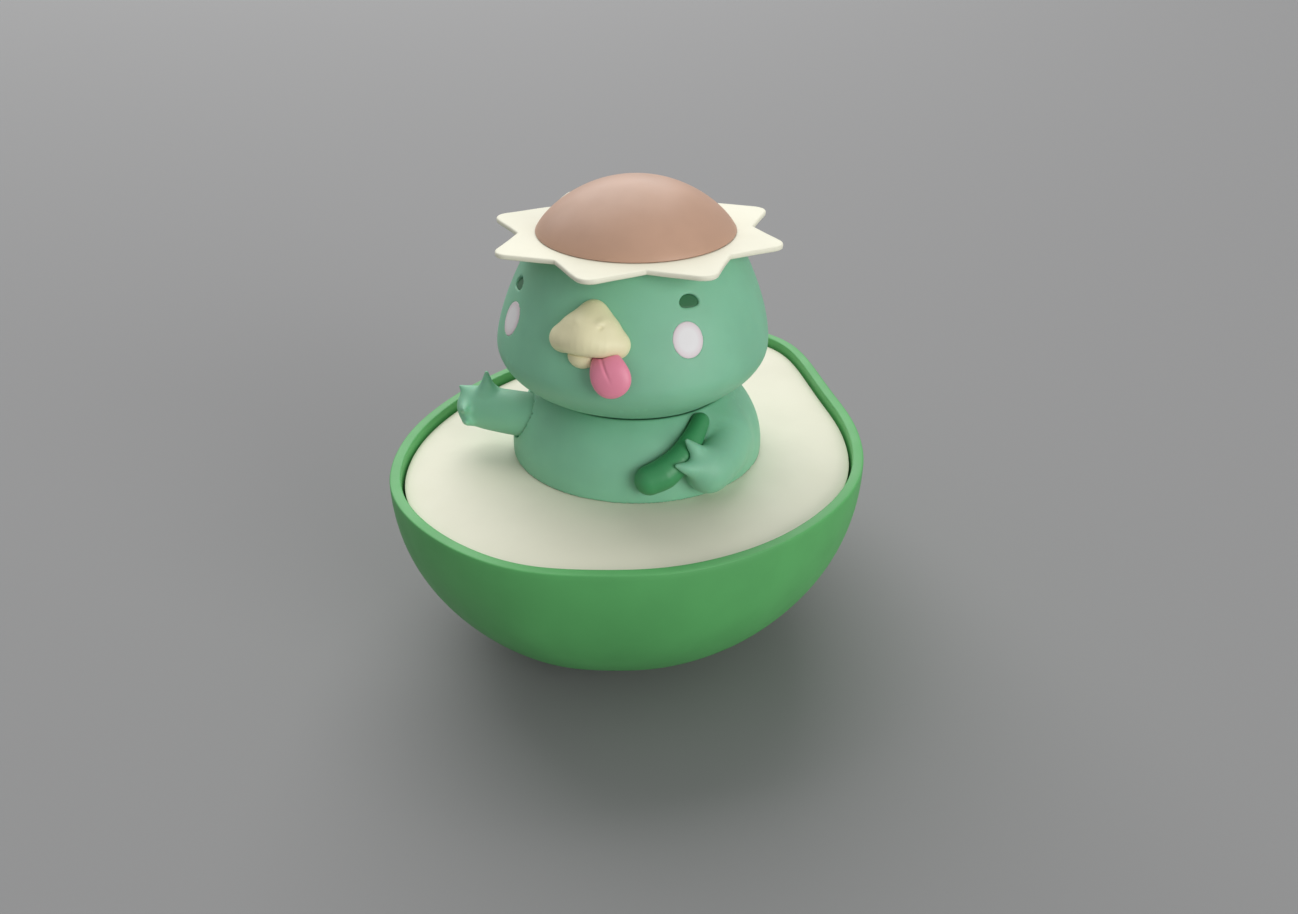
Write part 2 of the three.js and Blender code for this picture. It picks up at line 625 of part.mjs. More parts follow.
// ---------------------------------------------------------------- star hat and pit
function hatRing() {
  const shape = new THREE.Shape();
  const half = STAR_TIP_WIDTH / 2;
  for (let tip = 0; tip < STAR_TIPS; tip += 1) {
    const angle = (2 * Math.PI * tip) / STAR_TIPS - Math.PI / 2;
    const valley = angle + Math.PI / STAR_TIPS;
    const out = [Math.cos(angle), Math.sin(angle)];
    for (const side of [-half, half]) {
      const point = [STAR_RADIUS * out[0] - side * out[1], STAR_RADIUS * out[1] + side * out[0]];
      if (tip === 0 && side < 0) shape.moveTo(...point);
      else shape.lineTo(...point);
    }
    shape.lineTo(STAR_VALLEY * Math.cos(valley), STAR_VALLEY * Math.sin(valley));
  }
  const hole = new THREE.Path();
  hole.absarc(0, 0, CROWN_HOLE, 0, 2 * Math.PI, true);
  shape.holes.push(hole);
  const geometry = extrude(shape, STAR_THICKNESS, 18);
  geometry.translate(0, 0, HAT_Z);
  return toSolid(geometry);
}

function pitDome() {
  const base = HAT_Z + STAR_THICKNESS + GAP;
  const cap = (radius, height, z) => {
    const sphere = (radius * radius + height * height) / (2 * height);
    const reach = Math.asin(radius / sphere);
    return Array.from({ length: 8 }, (_, i) => {
      const angle = reach * (1 - i / 7);
      return [sphere * Math.sin(angle), z + height - sphere + sphere * Math.cos(angle)];
    });
  };
  const plug = CROWN_HOLE - GAP;
  const shell = lathe([[0, base], ...cap(PIT_RADIUS, PIT_HEIGHT, base)]);
  const skirt = lathe([[0, HAT_Z - 5], [plug, HAT_Z - 5], [plug, base + 1], [0, base + 1]]);
  const hollow = lathe([[0, HAT_Z - 6], [plug - 1.8, HAT_Z - 6], [plug - 1.8, base + 0.5],
    [6, base + PIT_HEIGHT - 3], [0, base + PIT_HEIGHT - 2.2]]);
  return shell.add(skirt).subtract(hollow);
}

// ---------------------------------------------------------------- neck fastening
function neckWasher() {
  const bottom = NECK_END_Z - GAP - WASHER_THICKNESS;
  const top = bottom + WASHER_THICKNESS;
  const bore = CLEARANCE_RADIUS;
  return lathe([[bore, bottom], [WASHER_RADIUS, bottom], [WASHER_RADIUS, top], [bore, top],
    [bore, bottom]], 24);
}

// ---------------------------------------------------------------- scene
const toy = new THREE.Group();

function place(name, solid, colour, roughness, metalness = 0) {
  const material = new THREE.MeshStandardMaterial({ color: COLOURS[colour], roughness, metalness });
  const mesh = new THREE.Mesh(toGeometry(solid), material);
  mesh.name = name;
  toy.add(mesh);
  return mesh;
}

function placeScrews(name, spots, seat, length, headRadius, pointsDown = false) {
  spots.forEach(([x, y], i) => {
    const mesh = place(`${name}_${i + 1}`, screw(length, headRadius), 'steel', 0.35, 1);
    mesh.position.set(x, y, seat);
    mesh.rotation.x = pointsDown ? Math.PI : 0;
  });
}

place('skin_shell', skinShell(), 'skin', 0.55);
place('counterweight', counterweight(), 'iron', 0.7, 0.8);
placeScrews('weight_screw', weightScrews, WEIGHT_TOP_Z - WEIGHT_SCREW_SINK + GAP, 10, 2.8, true);
place('flesh_cover', fleshCover(), 'flesh', 0.6);
placeScrews('cover_screw', coverPosts, WELL_TOP - GAP, 13, 2.7);
place('body_shell', bodyShell(), 'figure', 0.6);
placeScrews('body_screw', bodyScrews, BODY_SCREW_SEAT_Z, 9, 2.7);
place('neck_washer', neckWasher(), 'steel', 0.35, 1);
const neckScrew = place('neck_screw', screw(10, 3), 'steel', 0.35, 1);
neckScrew.position.z = NECK_END_Z - 2 * GAP - WASHER_THICKNESS;
place('head_shell', headShell(), 'figure', 0.6);
place('hat_ring', hatRing(), 'hat', 0.65);
place('pit_dome', pitDome(), 'pit', 0.5);
place('bill_upper', upperBill(), 'bill', 0.6);
place('bill_lower', lowerBill(), 'bill', 0.6);
place('tongue', tongue(), 'tongue', 0.45);
for (const side of ['left', 'right']) {
  const eye = inlay(eyeShape(0), EYES[side], INLAY_DEPTH, -EYE_RECESS);
  const cheek = inlay(cheekShape(0), CHEEKS[side], INLAY_DEPTH, CHEEK_RISE);
  place(`eye_${side}`, eye, 'eye', 0.4);
  place(`cheek_${side}`, cheek, 'cheek', 0.6);
}
place('right_arm', rightArm(), 'figure', 0.6);
const peg = place('arm_peg', armPeg(), 'figure', 0.6);
peg.rotation.y = Math.PI / 2;
peg.position.set(ARM_ROOT_X + ARM_SOCKET_WALL + GAP - ARM_PEG_LENGTH, ARM_AXIS_Y, ARM_AXIS_Z);
place('cucumber', cucumber(), 'cucumber', 0.5);

export default toy;
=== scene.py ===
"""Avocado roly-poly desk toy: the looks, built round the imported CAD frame.

Lengths below are millimetres in the row frame, and MM turns them into Blender's metres. The
figure faces -Y, its left hand is at +X, and +Z is up. Soft sculpted pieces are made as implicit
surfaces: a field is a function of points that is negative inside the piece, close to a distance,
and contour() turns it into a mesh. Turned and lofted pieces are made from stacks of rings.
"""

import json
import math

import bpy
import numpy as np
from mathutils import Matrix, Vector


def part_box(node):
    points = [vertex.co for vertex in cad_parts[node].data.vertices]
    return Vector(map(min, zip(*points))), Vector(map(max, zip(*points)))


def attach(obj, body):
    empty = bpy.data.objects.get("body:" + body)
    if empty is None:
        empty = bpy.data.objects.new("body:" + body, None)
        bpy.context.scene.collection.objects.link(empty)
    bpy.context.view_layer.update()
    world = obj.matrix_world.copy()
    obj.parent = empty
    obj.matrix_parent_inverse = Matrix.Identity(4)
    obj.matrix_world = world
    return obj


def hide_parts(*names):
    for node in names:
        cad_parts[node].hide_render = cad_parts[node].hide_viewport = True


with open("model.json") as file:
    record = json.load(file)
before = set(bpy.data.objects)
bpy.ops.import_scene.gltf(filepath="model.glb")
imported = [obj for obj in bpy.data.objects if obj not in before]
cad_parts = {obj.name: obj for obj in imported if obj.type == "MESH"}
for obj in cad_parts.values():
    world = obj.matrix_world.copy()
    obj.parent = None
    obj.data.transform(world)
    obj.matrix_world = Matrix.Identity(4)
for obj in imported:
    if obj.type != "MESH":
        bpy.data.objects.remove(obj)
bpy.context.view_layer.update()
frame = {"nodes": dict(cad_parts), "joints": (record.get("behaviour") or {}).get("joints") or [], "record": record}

MM = 0.001
GAP = 0.12  # between pieces that touch
DETAIL = 1.0  # coarser meshes while trying things


def low_of(node):
    return np.array(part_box(node)[0]) / MM


def high_of(node):
    return np.array(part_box(node)[1]) / MM


def width_of(node):
    return high_of(node)[0] - low_of(node)[0]


# ---------------------------------------------------------------- sizes taken from the frame
RIM_Z = high_of("skin_shell")[2]
BODY_BOTTOM_Z = low_of("body_shell")[2]
HAT_Z = low_of("hat_ring")[2]
HAT_TOP_Z = high_of("hat_ring")[2]
STAR_RADIUS = width_of("hat_ring") / 2
PIT_RADIUS = width_of("pit_dome") / 2
PIT_TOP_Z = high_of("pit_dome")[2]
PIT_BOTTOM_Z = low_of("pit_dome")[2]
HEAD_RADIUS = width_of("head_shell") / 2
HEAD_TOP_Z = high_of("head_shell")[2]
NECK_END_Z = low_of("head_shell")[2]
ARM_ROOT_X = high_of("right_arm")[0]
ARM_JOINT = next(j for j in frame["joints"] if j["name"] == "arm_turn")
ARM_AXIS_Y, ARM_AXIS_Z = np.array(ARM_JOINT["pos_m"][1:]) / MM

# ---------------------------------------------------------------- sizes shared with the CAD
WALL = 2.0
# Half-avocado seen from above, clockwise from the blunt front end; the stem end is at +Y.
AVOCADO_OUTLINE = [
    (-1, -48.5), (-19, -44.8), (-34.3, -33), (-41.4, -16), (-41.9, 1), (-37.8, 18),
    (-30.5, 33), (-24, 45), (-15.5, 55.4), (0, 59), (15.5, 55.4), (24, 45), (30.5, 33),
    (38.4, 18), (42.6, 1), (40.4, -15), (31.8, -31.2), (17, -43.2),
]
BOWL_CENTRE_Y = -3.0
BOWL_POWER = 2.15  # 2 is an ellipsoid, more is squarer
FOOT_SHARE = 0.21
LIP_ROUNDING = 0.55
FLESH_EDGE_Z = 36.4
FLESH_CROWN = 0.7
FLESH_ROUNDING = 0.6
FLESH_SKIRT_Z = 31.0
FLESH_INSET = WALL + 0.5
COVER_SCREW_CIRCLE = 15.0
WEIGHT_SCREW_CIRCLE = 13.0
BODY_SCREW_CIRCLE = 16.5
WELL_RADIUS = 3.2  # lets a screw and a driver in from below
WELL_POST_RADIUS = 5.0
WELL_TOP_Z = 15.0
COVER_POST_RADIUS = 4.4
COVER_POST_BOTTOM_Z = 18.3
WEIGHT_POST_TOP_Z = 7.7
SCREW_POST_RADIUS = 3.2
PILOT_RADIUS = 1.2
CLEARANCE_RADIUS = 1.7
TURNING_GAP = 0.3  # round the neck and the arm's peg

BODY_RADIUS = 23.2
BODY_SWELL_Z = 38.4
BODY_HEIGHT = 17.5
BODY_TOP_Z = 48.2  # plateau round the neck, inside the collar
COLLAR_Z = 50.2
COLLAR_RADIUS = 17.1
BODY_PILOT_BOTTOM_Z = 36.0
BODY_PILOT_TOP_Z = 45.0
CAVITY_TOP_Z = BODY_TOP_Z - WALL - 0.2
NECK_RADIUS = 5.5
NECK_ROOT_Z = 58.0  # inside the head
NECK_PILOT_TOP_Z = 57.0
PLUG_RADIUS = 16.8  # the head's underside fills the torso's dish
PLUG_ROOT_Z = 54.0  # inside the head
PLUG_GAP = 0.2

HEAD_WIDEST_Z = 60.0
HEAD_TOP_RADIUS = 17.5
HEAD_BOTTOM_Z = 48.6
HEAD_TAPER = 1.6
CHIN_POWER = 1.9
NAPE_POWER = 3.2
CHIN_FORWARD = 4.5
NAPE_FORWARD = 1.6
HEAD_FLATTEN = 0.97

STAR_TIPS = 8
STAR_VALLEY = 20.5
STAR_TIP_WIDTH = 2.2
CROWN_HOLE = 14.3
PIT_PLUG_RADIUS = CROWN_HOLE - 0.3
PIT_WALL = 1.8

ARM_ROOT_RADIUS = 4.15
ARM_PEG_RADIUS = 1.5
ARM_FLANGE_RADIUS = 2.5
ARM_SOCKET_WALL = 2.4
BILL_X = -0.4  # the face looks a little to the figure's right
BILL_PEG_Z = 68.6
BILL_PEG_RADIUS = 1.5


def polar(radius, degrees, z):
    """A point at a radius and height, at an angle from the front towards +X."""
    angle = math.radians(degrees)
    return np.array([radius * math.sin(angle), -radius * math.cos(angle), z])


def three_around(radius, first_degrees):
    return [polar(radius, first_degrees + 120 * i, 0)[:2] for i in range(3)]


# ---------------------------------------------------------------- fields
def soft_min(a, b, width):
    """Union of two fields, with a fillet of about this width."""
    share = np.clip(0.5 + 0.5 * (b - a) / width, 0, 1)
    return b + (a - b) * share - width * share * (1 - share)


def soft_max(a, b, width):
    return -soft_min(-a, -b, width)


def smooth_path(centres, samples):
    """Points on a Catmull-Rom curve through the centres, and how many centres along each is."""
    centres = np.array(centres, float)
    ends = [2 * centres[0] - centres[1], *centres, 2 * centres[-1] - centres[-2]]
    knots = np.array(ends)
    place = np.linspace(0, len(centres) - 1, samples)
    first = np.minimum(place.astype(int), len(centres) - 2)
    t = (place - first)[:, None]
    a, b, c, d = (knots[first + i] for i in range(4))
    points = b + 0.5 * t * (c - a + t * (2 * a - 5 * b + 4 * c - d + t * (3 * (b - c) + d - a)))
    return points, place


def limb(points, centres, radii, samples=18):
    """Round limb of changing radius along a smooth curve."""
    path, place = smooth_path(centres, samples)
    sizes = np.interp(place, np.arange(len(radii)), radii)
    nearest = np.full(len(points), np.inf)
    for start, end, first, last in zip(path, path[1:], sizes, sizes[1:]):
        along = end - start
        share = np.clip((points - start) @ along / (along @ along), 0, 1)
        reach = np.linalg.norm(points - start - share[:, None] * along, axis=1)
        nearest = np.minimum(nearest, reach - first - (last - first) * share)
    return nearest


def ball(points, centre, radii):
    radii = np.array(radii, float)
    scaled = np.linalg.norm((points - centre) / radii, axis=1)
    steep = np.linalg.norm((points - centre) / radii**2, axis=1)
    return scaled * (scaled - 1) / np.maximum(steep, 1e-6)


def rod(points, radius, start, end):
    """Cylinder between two points."""
    start, end = np.array(start, float), np.array(end, float)
    length = np.linalg.norm(end - start)
    along = (end - start) / length
    height = (points - start) @ along
    reach = np.linalg.norm(points - start - height[:, None] * along, axis=1)
    return np.maximum(reach - radius, np.abs(height - length / 2) - length / 2)


def wobble(points, scale, seed):
    """Slow, smooth unevenness between -1 and 1, as a hand-made master has."""
    total = np.zeros(len(points))
    random = np.random.default_rng(seed)
    for _ in range(5):
        turn = random.normal(size=3)
        turn /= np.linalg.norm(turn) * scale / random.uniform(4.0, 8.0)
        total += np.sin(points @ turn + random.uniform(0, 2 * math.pi))
    return total / 5


def gradient(field, points, nudge=0.02):
    steps = np.eye(3) * nudge
    return np.stack([field(points + d) - field(points - d) for d in steps], 1) / (2 * nudge)


def project(field, points, times, furthest):
    """Move points onto the surface, along the field's slope."""
    for _ in range(times):
        slope = gradient(field, points)
        steep = np.maximum((slope**2).sum(1), 0.05)
        move = np.clip(field(points) / steep, -furthest, furthest)
        points = points - move[:, None] * slope
    return points


# ---------------------------------------------------------------- from a field to a mesh
BLOCK = 4  # fine cells along a coarse block


def lattice_inside(field, low, counts, step):
    """Which lattice points are inside, worked out in full only in blocks near the surface."""
    blocks = (counts - 1) // BLOCK
    size = BLOCK * step
    middles = low + (np.indices(blocks).reshape(3, -1).T + 0.5) * size
    value = field(middles).reshape(blocks)
    inside, wanted = value < 0, np.abs(value) < 1.5 * size
    for axis in range(3):
        inside = np.repeat(inside, BLOCK, axis)
        wanted = np.repeat(wanted, BLOCK, axis)
    inside = np.pad(inside, (0, 1), mode="edge")
    wanted = np.pad(wanted, (0, 1), mode="edge")
    for axis in range(3):
        wanted |= np.roll(wanted, 1, axis)
    inside[wanted] = field(low + np.argwhere(wanted) * step) < 0
    return inside


def cell_quads(inside, number):
    """One quad round every lattice edge that crosses the surface, facing out."""
    quads = []
    for axis in range(3):
        order = (axis, (axis + 1) % 3, (axis + 2) % 3)
        points, cells = np.transpose(inside, order), np.transpose(number, order)
        here, there = points[:-1, 1:-1, 1:-1], points[1:, 1:-1, 1:-1]
        ring = np.stack(
            [cells[:, :-1, :-1], cells[:, 1:, :-1], cells[:, 1:, 1:], cells[:, :-1, 1:]], -1
        )
        quads.append(ring[here & ~there])
        quads.append(ring[there & ~here][:, ::-1])
    return np.concatenate(quads)


def relax(points, quads):
    """Average of each point's neighbours along the quads' edges."""
    starts, ends = quads.ravel(), np.roll(quads, -1, 1).ravel()
    both, other = np.concatenate([starts, ends]), np.concatenate([ends, starts])
    count = np.bincount(both, minlength=len(points))
    sums = [np.bincount(both, points[other, i], len(points)) for i in range(3)]
    return np.stack(sums, 1) / count[:, None]


def contour(field, low, high, step):
    """Mesh of the surface where field is 0: points and quads."""
    step = step * DETAIL
    low, high = np.array(low, float) - 2 * step, np.array(high, float) + 2 * step
    counts = np.ceil((high - low) / (step * BLOCK)).astype(int) * BLOCK + 1
    inside = lattice_inside(field, low, counts, step)
    corners = sum(
        inside[i : counts[0] - 1 + i, j : counts[1] - 1 + j, k : counts[2] - 1 + k].astype(int)
        for i in (0, 1) for j in (0, 1) for k in (0, 1)
    )
    crossed = (corners > 0) & (corners < 8)
    number = np.full(crossed.shape, -1)
    number[crossed] = np.arange(crossed.sum())
    quads = cell_quads(inside, number)
    points = project(field, low + (np.argwhere(crossed) + 0.5) * step, 2, step)
    for _ in range(3):
        points = project(field, relax(points, quads), 2, step)
    return points, quads


# ---------------------------------------------------------------- pieces
def new_piece(name, points, faces, body, slot, node):
    """A smooth-shaded mesh that rides on a body and stands for a CAD node."""
    mesh = bpy.data.meshes.new(name)
    mesh.from_pydata((np.asarray(points) * MM).tolist(), [], [list(map(int, f)) for f in faces])
    mesh.validate()
    mesh.shade_smooth()
    piece = bpy.data.objects.new(name, mesh)
    bpy.context.scene.collection.objects.link(piece)
    piece.data.materials.append(MATERIALS[slot])
    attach(piece, body)
    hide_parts(node)
    return piece


def sculpt(name, field, step, body, slot, node, margin=1.0):
    """A piece from a field, looked for in its CAD node's box and a margin round it."""
    points, quads = contour(field, low_of(node) - margin, high_of(node) + margin, step)
    return new_piece(name, points, quads, body, slot, node)


def loft_faces(ring_count, around):
    """Quads between rings, and a fan on the first and on the last ring.

    They face out for rings that run anticlockwise from above and rise up the outside.
    """
    here = np.arange(around)
    there = np.roll(here, -1)
    faces = []
    for ring in range(ring_count - 1):
        base = ring * around
        faces += np.stack([base + here, base + there, base + around + there,
                           base + around + here], 1).tolist()
    first, last = ring_count * around, ring_count * around + 1
    top = (ring_count - 1) * around
    faces += np.stack([there, here, np.full(around, first)], 1).tolist()
    faces += np.stack([top + here, top + there, np.full(around, last)], 1).tolist()
    return faces


def loft_solid(rings):
    """Points and faces of the closed solid through a stack of rings."""
    rings = np.array(rings)
    middles = [rings[0].mean(0), rings[-1].mean(0)]
    points = np.concatenate([rings.reshape(-1, 3), middles])
    return points, loft_faces(len(rings), rings.shape[1])


def loft(name, rings, body, slot, node):
    return new_piece(name, *loft_solid(rings), body, slot, node)


def turned_rings(profile, around):
    """Rings of a profile of (radius, height) turned about the vertical axis."""
    angle = np.linspace(0, 2 * math.pi, around, endpoint=False)
    circle = np.stack([np.cos(angle), np.sin(angle), np.zeros(around)], 1)
    return [circle * radius + (0, 0, height) for radius, height in profile]


def straight(radius, bottom, top):
    """Profile of an upright cylinder."""
    return [(radius, bottom), (radius, top)]


def tool_solid(rings):
    """A lofted solid for cutting or joining, which combine() uses up."""
    points, faces = loft_solid(rings)
    mesh = bpy.data.meshes.new("tool")
    mesh.from_pydata((points * MM).tolist(), [], faces)
    solid = bpy.data.objects.new("tool", mesh)
    bpy.context.scene.collection.objects.link(solid)
    return solid


def cutter(profile, spot, around=40):
    """A turned tool solid on an upright axis through the spot."""
    return tool_solid(np.array(turned_rings(profile, around)) + (*spot, 0))


def combine(piece, solids, operation):
    """Join solids to a piece, or cut them from it, and apply the result to its mesh."""
    for solid in solids:
        change = piece.modifiers.new("change", "BOOLEAN")
        change.operation, change.solver, change.object = operation, "EXACT", solid
    ready = piece.evaluated_get(bpy.context.evaluated_depsgraph_get())
    mesh = bpy.data.meshes.new_from_object(ready)
    piece.modifiers.clear()
    piece.data = mesh
    mesh.shade_smooth()
    for solid in solids:
        bpy.data.objects.remove(solid)


# ---------------------------------------------------------------- materials
MOTTLE_SCALE = 90.0  # noise scales, per metre
DULL_SCALE = 160.0
GRAIN_SCALE = 2600.0
GLOW_DEPTH = 0.002  # metres that light scatters inside


def linear(*eight_bit):
    """Screen colour, 0 to 255, to Blender's linear colour."""
    share = np.array(eight_bit) / 255
    return (*np.where(share < 0.04045, share / 12.92, ((share + 0.055) / 1.055) ** 2.4), 1.0)


def add_node(material, kind, **values):
    node = material.node_tree.nodes.new(kind)
    for key, value in values.items():
        if hasattr(node, key):
            setattr(node, key, value)
        else:
            node.inputs[key.replace("_", " ")].default_value = value
    return node


def noise(material, place, scale, detail=3.0, roughness=0.5):
    node = add_node(material, "ShaderNodeTexNoise", Scale=scale, Detail=detail, Roughness=roughness)
    material.node_tree.links.new(place.outputs["Object"], node.inputs["Vector"])
    return node.outputs["Fac"]


def ramp(material, source, low, high, low_value, high_value):
    """Map a socket's value from low and high to two values or two colours."""
    links = material.node_tree.links
    if isinstance(low_value, tuple):
        node = add_node(material, "ShaderNodeValToRGB")
        node.color_ramp.interpolation = "EASE"
        first, last = node.color_ramp.elements
        first.position, first.color = low, low_value
        last.position, last.color = high, high_value
        links.new(source, node.inputs["Fac"])
        return node.outputs["Color"]
    node = add_node(material, "ShaderNodeMapRange")
    values = {"From Min": low, "From Max": high, "To Min": low_value, "To Max": high_value}
    for key, value in values.items():
        node.inputs[key].default_value = value
    links.new(source, node.inputs["Value"])
    return node.outputs["Result"]


def tint(colour, gain):
    """The colour made lighter or darker, kept below white."""
    return tuple(min(part * gain, 1.0) for part in colour[:3]) + (1.0,)


def mix(material, share, first, second):
    """Mix two colours, each a constant or a socket, by a share that varies over the surface."""
    node = add_node(material, "ShaderNodeMix", data_type="RGBA")
    for socket, value in ((node.inputs[6], first), (node.inputs[7], second)):
        if isinstance(value, tuple):
            socket.default_value = value
        else:
            material.node_tree.links.new(value, socket)
    material.node_tree.links.new(share, node.inputs["Factor"])
    return node.outputs[2]


def plastic(name, colour, roughness, grain=0.06, mottle=0.05, glow=0.0, metal=0.0):
    """Moulded plastic or metal: slow mottling, rubbed edges, a fine mould grain, dull patches."""
    material = bpy.data.materials.new(name)
    material.use_nodes = True
    tree = material.node_tree
    shader = tree.nodes["Principled BSDF"]
    place = add_node(material, "ShaderNodeTexCoord")
    base = ramp(material, noise(material, place, MOTTLE_SCALE), 0.3, 0.7,
                tint(colour, 1 - mottle), tint(colour, 1 + mottle))
    edge = add_node(material, "ShaderNodeNewGeometry").outputs["Pointiness"]
    worn = ramp(material, edge, 0.52, 0.60, 0.0, 0.25)
    tree.links.new(mix(material, worn, base, tint(colour, 1.25)), shader.inputs["Base Color"])
    patches = noise(material, place, DULL_SCALE, detail=5.0)
    dull = ramp(material, patches, 0.25, 0.75, roughness - 0.05, roughness + 0.07)
    tree.links.new(dull, shader.inputs["Roughness"])
    fine = noise(material, place, GRAIN_SCALE, detail=2.0)
    bump = add_node(material, "ShaderNodeBump", Strength=grain, Distance=0.0001)
    tree.links.new(fine, bump.inputs["Height"])
    tree.links.new(bump.outputs["Normal"], shader.inputs["Normal"])
    shader.inputs["Metallic"].default_value = metal
    shader.inputs["Subsurface Weight"].default_value = glow
    shader.inputs["Subsurface Scale"].default_value = GLOW_DEPTH
    return material


def blush(material, colour):
    """Tint a plastic towards its piece's border, where the border attribute rises to 1."""
    shader = material.node_tree.nodes["Principled BSDF"]
    socket = shader.inputs["Base Color"]
    base = socket.links[0].from_socket
    border = add_node(material, "ShaderNodeAttribute", attribute_name="border").outputs["Fac"]
    share = ramp(material, border, 0.60, 1.0, 0.0, 0.6)
    material.node_tree.links.new(mix(material, share, base, colour), socket)
    return material


MATERIALS = {
    "skin": plastic("avocado_skin", linear(88, 170, 96), 0.50),
    "flesh": plastic("avocado_flesh", linear(230, 227, 206), 0.55, mottle=0.015),
    "figure": plastic("sea_green_vinyl", linear(130, 193, 158), 0.52, glow=0.08),
    "hat": plastic("ivory_plastic", linear(238, 236, 214), 0.55, mottle=0.02),
    "pit": plastic("pit_brown", linear(192, 154, 130), 0.45),
    "bill": plastic("straw_vinyl", linear(240, 233, 190), 0.48, mottle=0.03),
    "tongue": plastic("tongue_pink", linear(240, 144, 168), 0.42),
    "eye": plastic("eye_green", linear(46, 108, 68), 0.38),
    "cheek": blush(plastic("cheek_white", linear(234, 232, 232), 0.50, mottle=0.02),
                   linear(214, 190, 196)),
    "cucumber": plastic("cucumber_green", linear(60, 146, 90), 0.42),
    "iron": plastic("cast_iron", linear(92, 95, 99), 0.62, grain=0.5, mottle=0.15, metal=0.9),
    "steel": plastic("zinc_steel", linear(196, 200, 205), 0.30, grain=0.15, mottle=0.04,
                     metal=1.0),
}


def finish_cad_nodes():
    """Give every CAD node its slot's material, the carried-over ones as well as the hidden."""
    for part in frame["record"]["subparts"]:
        mesh = frame["nodes"][part["node"]].data
        mesh.materials.clear()
        mesh.materials.append(MATERIALS[part["material_slot"]])


# ---------------------------------------------------------------- avocado
def avocado_outline(around=288, keep=14):
    """The rim outline as an even, smoothly closed ring, and its outward normals.

    Points are complex numbers, x + iy, so that the corners can be smoothed by keeping the lowest
    waves of the ring.
    """
    corners = np.array(AVOCADO_OUTLINE, float)
    looped = np.concatenate([corners[-1:], corners, corners[:2]])
    per_corner = 40
    path, _ = smooth_path(looped, per_corner * len(looped))
    ring = path[per_corner : per_corner * (1 + len(corners))]
    closed = np.vstack([ring, ring[:1]])
    walked = np.concatenate([[0], np.cumsum(np.linalg.norm(np.diff(closed, axis=0), axis=1))])
    places = np.linspace(0, walked[-1], around, endpoint=False)
    even = np.interp(places, walked, closed[:, 0]) + 1j * np.interp(places, walked, closed[:, 1])
    order = np.fft.fftfreq(around, 1 / around)
    waves = np.fft.fft(even) * np.exp(-((order / keep) ** 4))
    along = np.fft.ifft(waves * 1j * order)
    return np.fft.ifft(waves), along / np.abs(along) * 1j


OUTLINE, OUTWARD = avocado_outline()


def avocado_ring(inset, share, z):
    """The rim outline moved in by inset and shrunk to share about the bowl's centre.

    It is listed anticlockwise from above.
    """
    flat = OUTLINE - OUTWARD * inset
    flat = (flat - 1j * BOWL_CENTRE_Y) * share + 1j * BOWL_CENTRE_Y
    ring = np.stack([flat.real, flat.imag, np.full(len(flat), float(z))], 1)
    return ring[::-1]


def bowl_curve(bottom, inset, count):
    """Rings from the flat foot at the bottom up to the rim."""
    flat = (1 - FOOT_SHARE**BOWL_POWER) ** (1 / BOWL_POWER)
    lowest = math.asin(FOOT_SHARE ** (BOWL_POWER / 2))
    rings = [avocado_ring(inset, FOOT_SHARE * share, bottom) for share in (0.3, 0.7, 0.95)]
    for turn in np.linspace(lowest, math.pi / 2, count):
        share = math.sin(turn) ** (2 / BOWL_POWER)
        down = math.cos(turn) ** (2 / BOWL_POWER)
        rings.append(avocado_ring(inset, share, RIM_Z - (RIM_Z - bottom) * down / flat))
    return rings


def lip_rings():
    """The rim's rounded top edge, from outside to inside."""
    rings = []
    for turn in np.linspace(0, math.pi, 13)[1:-1]:
        across = math.copysign(abs(math.cos(turn)) ** 0.35, math.cos(turn))
        rise = LIP_ROUNDING * (math.sin(turn) ** 0.5 - 1)
        rings.append(avocado_ring(WALL / 2 * (1 - across), 1, RIM_Z + rise))
    return rings


def avocado_skin():
    """Bowl with three wells for the cover's screws and three posts for the weight's."""
    outside = bowl_curve(0, 0, 56)
    inside = bowl_curve(WALL, WALL, 40)[::-1]
    lip_z = RIM_Z - LIP_ROUNDING - 0.15
    outside = [ring for ring in outside if ring[0, 2] < lip_z]
    inside = [ring for ring in inside if ring[0, 2] < lip_z]
    bowl = loft("avocado_skin", outside + lip_rings() + inside, "base", "skin", "skin_shell")
    wells = three_around(COVER_SCREW_CIRCLE, 60)
    feet = three_around(WEIGHT_SCREW_CIRCLE, 0)
    posts = [cutter(straight(WELL_POST_RADIUS, 0, WELL_TOP_Z + 3), spot) for spot in wells]
    posts += [cutter(straight(SCREW_POST_RADIUS, 0, WEIGHT_POST_TOP_Z), spot) for spot in feet]
    combine(posts[0], posts[1:], "UNION")
    combine(posts[0], [tool_solid(bowl_curve(WALL / 2, WALL / 2, 24))], "INTERSECT")
    combine(bowl, posts[:1], "UNION")
    well = straight(WELL_RADIUS, -3, WELL_TOP_Z)
    well += straight(CLEARANCE_RADIUS, WELL_TOP_Z, WELL_TOP_Z + 4)
    cuts = [cutter(well, spot) for spot in wells]
    cuts += [cutter(straight(PILOT_RADIUS, WALL + 0.8, 9), spot) for spot in feet]
    combine(bowl, cuts, "DIFFERENCE")


def flesh_crown(share):
    """Height of the flesh's surface at a share of the way out to its edge."""
    return FLESH_EDGE_Z + FLESH_CROWN * (1 - share**2.4) + 0.2


def flesh_height(share):
    """The same, with the edge rounded off."""
    return flesh_crown(share) + FLESH_ROUNDING * (math.sqrt(max(1 - share**14, 0)) - 1)


